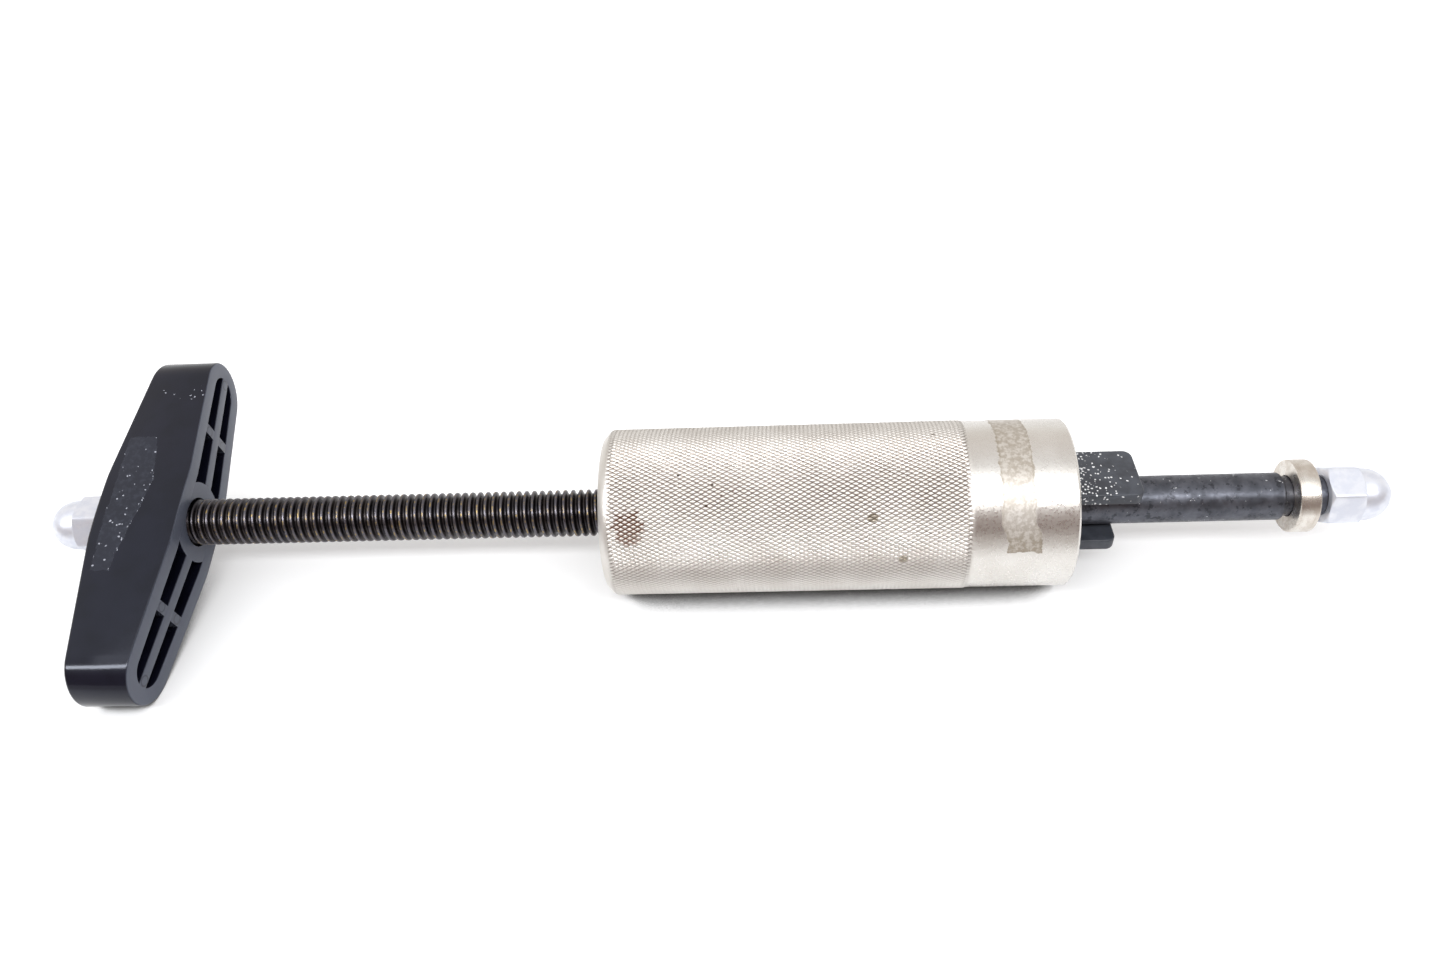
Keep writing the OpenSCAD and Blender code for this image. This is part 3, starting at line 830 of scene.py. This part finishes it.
def bright_zinc():
    """Pressed steel nuts with bright zinc plating: almost white, slightly blue,
    with faint cloudiness and fine drawing lines."""
    made, add, place = new_material("bright_zinc")
    cloudy = blobs(add, place, 1.6, 3)
    base = mottled(add, cloudy, "#eff2fa", "#e2e6f1")
    grain = blobs(add, place, 0.4, 2)
    rough = add("MapRange", (cloudy, *MOST_NOISE, 0.32, 0.4), **SMOOTH)
    return surface(made, add, grain, 0.01, 0.5,
                   {"Base Color": base, "Metallic": 0.7, "Roughness": rough})


def turned_steel():
    """Plain turned steel, oiled, with rings left by the tool."""
    made, add, place = new_material("turned_steel")
    base = add("Mix", (blobs(add, place, 3, 3), linear("#9a958c"), linear("#7c776f")), **COLOURS)
    oily = blobs(add, place, 1.2, 3)
    turning = blobs(add, place, 0.4, 2, (1, 300, 300))
    rough = add("MapRange", (oily, *MOST_NOISE, 0.32, 0.44), **SMOOTH)
    return surface(made, add, turning, 0.02, 0.6,
                   {"Base Color": base, "Metallic": 1.0, "Roughness": rough})


# The scuffed patch on one long side of the handle: its two ends along the handle,
# its palm edge, the place and lean of its other, pointed edge, and its side
SCUFF_U0, SCUFF_U1, SCUFF_PALM, SCUFF_TOP, SCUFF_PEAK, SCUFF_LEAN = -19.3, 21.9, -20.0, -8.9, 7.2, 0.21
SCUFF_SIDE = 5.0
# How deep the patch's torn edge goes in and out
SCUFF_TEAR = 2.6
# Round marks of the mould's ejector pins: places along and across, and radius
PIN_MARKS, PIN_R = ((27.0, 4.1), (45.7, 0.0)), 1.35


def scuff(add, place, x, u, v):
    """The scuffed patch, from its outline in mm, and the rim at its torn edge."""
    from_peak = add("Math", (add("Math", (u, SCUFF_PEAK), **MINUS),), **UNSIGNED)
    pointed = add("Math", (from_peak, -SCUFF_LEAN, add("Math", (SCUFF_TOP, x), **MINUS)), **TIMES_PLUS)
    inside = add("Math", (add("Math", (x, SCUFF_PALM), **MINUS), pointed), **LEAST)
    inside = add("Math", (inside, add("Math", (u, SCUFF_U0), **MINUS)), **LEAST)
    inside = add("Math", (inside, add("Math", (SCUFF_U1, u), **MINUS)), **LEAST)
    inside = add("Math", (inside, add("Math", (v, SCUFF_SIDE), **MINUS)), **LEAST)
    tear = blobs(add, place, 2.2, 5, roughness=0.65)
    patch = add("MapRange", (ragged(add, inside, tear, SCUFF_TEAR), 0.0, 0.4), **SMOOTH)
    rim = add("MapRange", (ragged(add, pointed, tear, SCUFF_TEAR), 1.0, 0.4), **SMOOTH)
    return patch, add("Math", (patch, rim), **TIMES)


def black_nylon():
    """Moulded black nylon: glossy black with a fine spark-eroded grain, and on
    one side a patch that has been rubbed dull, edged with tiny white flecks."""
    made, add, place = new_material("moulded_black_nylon")
    cloudy = blobs(add, place, 6, 4)
    grain = blobs(add, place, 0.45, 2)
    base = mottled(add, cloudy, "#0b0c16", "#11121e")
    x, u, v = in_mm(add, place, (BOSS_X, 0, AXIS_Z), ROLL)
    patch, rim = scuff(add, place, x, u, v)
    dust = add("MapRange", (blobs(add, place, 0.9, 4, roughness=0.7), 0.45, 0.65, 0.3, 0.7), **SMOOTH)
    less_low = add("MapRange", (u, SCUFF_U0, SCUFF_U0 + 12, 0.55, 1.0), **SMOOTH)
    dust = add("Math", (patch, add("Math", (dust, less_low), **TIMES)), **TIMES)
    base = add("Mix", (dust, base, linear("#31343e")), **COLOURS)
    # Flecks of 0.2 mm, drawn at about 0.5 mm so that they show: many along the
    # patch's rim, a few on it and a few near the upper end
    upper_end = from_handle(37.0, HANDLE_END_R + 1, -8.5).tolist()
    few = add("Math", (spot(add, place, upper_end, (7.5, 3.5, 3.5), 0.6, cloudy), 0.08), **TIMES)
    wanted = add("Math", (add("Math", (patch, 0.06), **TIMES), few), **MOST)
    wanted = add("Math", (add("Math", (rim, 0.6), **TIMES), wanted), **MOST)
    base = add("Mix", (flecks(add, place, 0.7, wanted), base, linear("#a3a6b1")), **COLOURS)
    face = add("Attribute", attribute_name="finger_face").outputs["Fac"]
    # Painted sheen: the finger side is coloured a lighter blue-grey, standing in for the glancing light
    # that its rim reflects
    base = add("Mix", (add("Math", (face, 0.8), **TIMES), base, linear("#5b606d")), **COLOURS)
    along, across = add("Math", (u,), **UNSIGNED), add("Math", (v,), **UNSIGNED)
    for pin_u, pin_v in PIN_MARKS:
        off_u, off_v = add("Math", (along, pin_u), **MINUS), add("Math", (across, pin_v), **MINUS)
        far = add("VectorMath", (add("CombineXYZ", (off_u, off_v)),), **LENGTH)
        from_line = add("Math", (far, PIN_R), **MINUS)
        line = add("MapRange", (add("Math", (from_line,), **UNSIGNED), 0.3, 0.1, 0.0, 0.75), **SMOOTH)
        base = add("Mix", (add("Math", (line, face), **TIMES), base, linear("#15161c")), **COLOURS)
    dull = add("Math", (add("Math", (patch, face), **PLUS), 0.2), **TIMES)
    gloss = add("MapRange", (cloudy, *MOST_NOISE, 0.11, 0.15), **SMOOTH)
    return surface(made, add, grain, 0.02, 0.4, {
        "Base Color": base, "Roughness": add("Math", (gloss, dull), **PLUS), "IOR": 1.5,
        "Specular Tint": (0.84, 0.88, 1.0, 1.0)})


# ---- The pieces

points, faces, height = sleeve_form()
make_piece("knurled_sleeve", points, outward(points, faces), plated_sleeve(), "sleeve_body",
           ["sleeve"], 80, {"height": height})

points, faces = plug_form()
make_piece("threaded_end_plug", points, faces, turned_steel(), "sleeve_body", ["end_plug"])

thread_oxide = dark_screw()
points, faces, crest = thread_form(BOSS_X - SCREW_SEAT, THREAD_END, THREAD_R, THREAD_DEPTH,
                                   NOSE_R - 0.15, PITCH)
make_piece("screw_thread", points, outward(points, faces), thread_oxide, "screw",
           ["drive_screw"], 60, {"crest": crest})
points, faces, crest = thread_form(TIP_SEAT - 0.2, TIP_SEAT + STUD_LEN, STUD_R, STUD_DEPTH,
                                   STUD_R - 0.4, STUD_PITCH)
make_piece("tip_stud_thread", points, outward(points, faces), thread_oxide, "screw",
           ["drive_screw"], 60, {"crest": crest})

points, faces = bar_form()
make_piece("screw_nose_and_studs", points, outward(points, faces), dark_bar(), "screw",
           ["drive_screw"])

points, faces = fork_form()
make_piece("two_prong_fork", points, faces, black_fork(), "guide", ["guide_fork"])

points, faces = ring_form()
make_piece("turned_puller_ring", points, faces, plated_ring(), "ring", ["puller_ring"])

zinc = bright_zinc()
points, faces = cap_nut_form(TIP_SEAT, 1, TIP_NUT_TURN)
make_piece("tip_acorn_nut", points, outward(points, faces), zinc, "tip_nut",
           ["tip_cap_nut"], 35)
points, faces = cap_nut_form(PALM_X, -1, HANDLE_NUT_TURN)
make_piece("handle_acorn_nut", points, outward(points, faces), zinc, "screw",
           ["handle_cap_nut"], 35)

points, faces, face_mark = handle_form()
make_piece("ribbed_t_handle", points, faces, black_nylon(), "screw", ["t_handle"], 50,
           {"finger_face": face_mark})


# ---- Floor, light and camera

FLOOR_HALF = 1.6
# How much the table glows for the camera, by the object and away from it, how
# much more in front, and how much of that shows in reflections
GLOW_NEAR, GLOW_FAR, GLOW_FRONT, GLOW_REFLECTED = 0.2, 0.45, 0.7, 0.15


def white_table():
    """A white sheet on a table, with painted shade that darkens it in front, where
    whoever takes the photograph stands. To the camera and to reflections it glows
    a little, so that it shows white; it still takes the object's shadow, deepened by painted shade right
    under the object."""
    made, add, place = new_material("white_table")
    away = add("VectorMath", (place, (0.3, 1.0, 0.0), (0.0, 0.025, 0.0)), **TIMES_PLUS)
    away = add("VectorMath", (away,), **LENGTH)
    # Painted shade: the sheet is darker in front, for the photographer standing there
    painted_front_shade = add("MapRange", (add("SeparateXYZ", (place,)).outputs[1], -0.05, -0.12), **SMOOTH)
    sheet = add("Mix", (painted_front_shade, linear("#e8e9ea"), linear("#8a8480")), **COLOURS)
    # Painted shade: where the object stands close over the sheet, ambient occlusion darkens the sheet's
    # colour and takes away its glow
    open_sky = add("AmbientOcclusion", {"Distance": 0.022}, samples=16).outputs["AO"]
    open_sky = add("MapRange", (open_sky, 0.22, 0.385, 0.12, 1.0), **SMOOTH)
    base = add("Mix", (open_sky, linear("#1c1a19"), sheet), **COLOURS)
    glow = add("MapRange", (away, 0.04, 0.09, GLOW_NEAR, GLOW_FAR), **SMOOTH)
    glow = add("Math", (add("Math", (painted_front_shade, GLOW_FRONT, glow), **TIMES_PLUS), open_sky), **TIMES)
    path = add("LightPath").outputs
    mirrored = add("Math", (path["Is Glossy Ray"], path["Is Transmission Ray"]), **MOST)
    mirrored = add("Math", (mirrored, GLOW_REFLECTED), **TIMES)
    seen = add("Math", (path["Is Camera Ray"], mirrored), **MOST)
    shader = add("BsdfPrincipled", {
        "Base Color": base, "Roughness": 0.9, "Emission Color": (1, 1, 1, 1),
        "Emission Strength": add("Math", (seen, glow), **TIMES)})
    add("OutputMaterial", (shader,))
    return made


floor_mesh = bpy.data.meshes.new("table_top")
reach = FLOOR_HALF
floor_mesh.from_pydata([(-reach, -reach, 0), (reach, -reach, 0), (reach, reach, 0), (-reach, reach, 0)],
                       [], [(0, 1, 2, 3)])
floor_mesh.materials.append(white_table())
floor = bpy.data.objects.new("table_top", floor_mesh)
bpy.context.scene.collection.objects.link(floor)

# The room round the screw's direction, from the backdrop behind the table (0)
# over the ceiling (0.5) to the dark, brownish side of the photographer (1)
ROOM = ((0.0, "#fffefb"), (0.2, "#e9e3de"), (0.38, "#f0ecea"), (0.5, "#f0f0f0"),
        (0.72, "#c9c3c1"), (0.84, "#93837d"), (1.0, "#8c7d78"))
ROOM_STRENGTH = 0.9


def studio():
    """The room's light as a world, which the camera sees as plain white, and so
    do metal and glass low behind the object."""
    made = bpy.data.worlds.new("studio")
    made.use_nodes = True
    made.node_tree.nodes.clear()
    add = functools.partial(add_node, made.node_tree)
    _, back, high = add("SeparateXYZ", (add("TexCoord").outputs["Generated"],)).outputs
    angle = add("Math", (add("Math", (high,), **UNSIGNED), back), operation="ARCTAN2")
    tone = add("ValToRGB", (add("Math", (angle, 1 / math.pi), **TIMES),))
    stops = tone.color_ramp.elements
    while len(stops) < len(ROOM):
        stops.new(0.5)
    for stop, (place, hex_colour) in zip(stops, ROOM):
        stop.position = place
        stop.color = linear(hex_colour)
    lit = add("Background", (tone, ROOM_STRENGTH))
    white = add("Background", ((1, 1, 1, 1), 1.0))
    path = add("LightPath").outputs
    mirrored = add("Math", (path["Is Glossy Ray"], path["Is Transmission Ray"]), **MOST)
    mirrored = add("Math", (mirrored, add("MapRange", (angle, 0.3, 0.0), **SMOOTH)), **TIMES)
    sees_white = add("Math", (path["Is Camera Ray"], mirrored), **MOST)
    add("OutputWorld", (add("MixShader", (sees_white, lit, white)),))
    return made


bpy.context.scene.world = studio()


def put(name, data, right, up, back, place):
    """Puts a lamp or a camera in the scene at a place in metres, with its own
    right, up and backward directions."""
    matrix = np.eye(4)
    matrix[:3] = np.stack([right, up, back, place], -1)
    holder = bpy.data.objects.new(name, data)
    holder.matrix_world = Matrix(matrix.tolist())
    bpy.context.scene.collection.objects.link(holder)
    return holder


LAMP_COLOUR = (0.97, 0.985, 1.0)


def softbox(name, place, aim, size, strength):
    """A rectangular area lamp at a place, facing an aim, with its sides in metres
    and its power in watts."""
    lamp = bpy.data.lights.new(name, "AREA")
    lamp.shape, lamp.size, lamp.size_y = "RECTANGLE", size[0], size[1]
    lamp.energy = strength
    lamp.color = LAMP_COLOUR
    way = np.array(aim, float) - place
    way /= np.linalg.norm(way)
    side = np.cross(way, (1.0, 0.0, 0.0))
    side /= np.linalg.norm(side)
    put(name, lamp, np.cross(side, way), side, -way, place)


softbox("window", (-0.35, -0.72, 1.04), (-0.35, 0, 0.02), (2.8, 0.2), 20.0)
softbox("ceiling", (0.0, -0.33, 1.15), (0, 0, 0.02), (1.8, 0.46), 2.2)

# The camera, as fitted to the photograph: place in mm and its right, up and
# forward directions
CAMERA_MM = (22.07, -217.81, 233.58)
CAMERA_RIGHT = (0.9982417, 0.0218910, -0.0550845)
CAMERA_UP = (0.0257190, 0.6773098, 0.7352483)
CAMERA_FORWARD = (-0.0534045, 0.7353722, -0.6755558)
FOCAL_PIXELS, PHOTO_WIDTH, SENSOR_MM = 1131.43, 1445, 36.0

camera = bpy.data.cameras.new("camera")
camera.sensor_width = SENSOR_MM
camera.lens = FOCAL_PIXELS / PHOTO_WIDTH * SENSOR_MM
camera.clip_start = 0.01
bpy.context.scene.camera = put("camera", camera, CAMERA_RIGHT, CAMERA_UP,
                               np.negative(CAMERA_FORWARD), np.array(CAMERA_MM) * MM)
bpy.context.scene.view_settings.view_transform = "Standard"
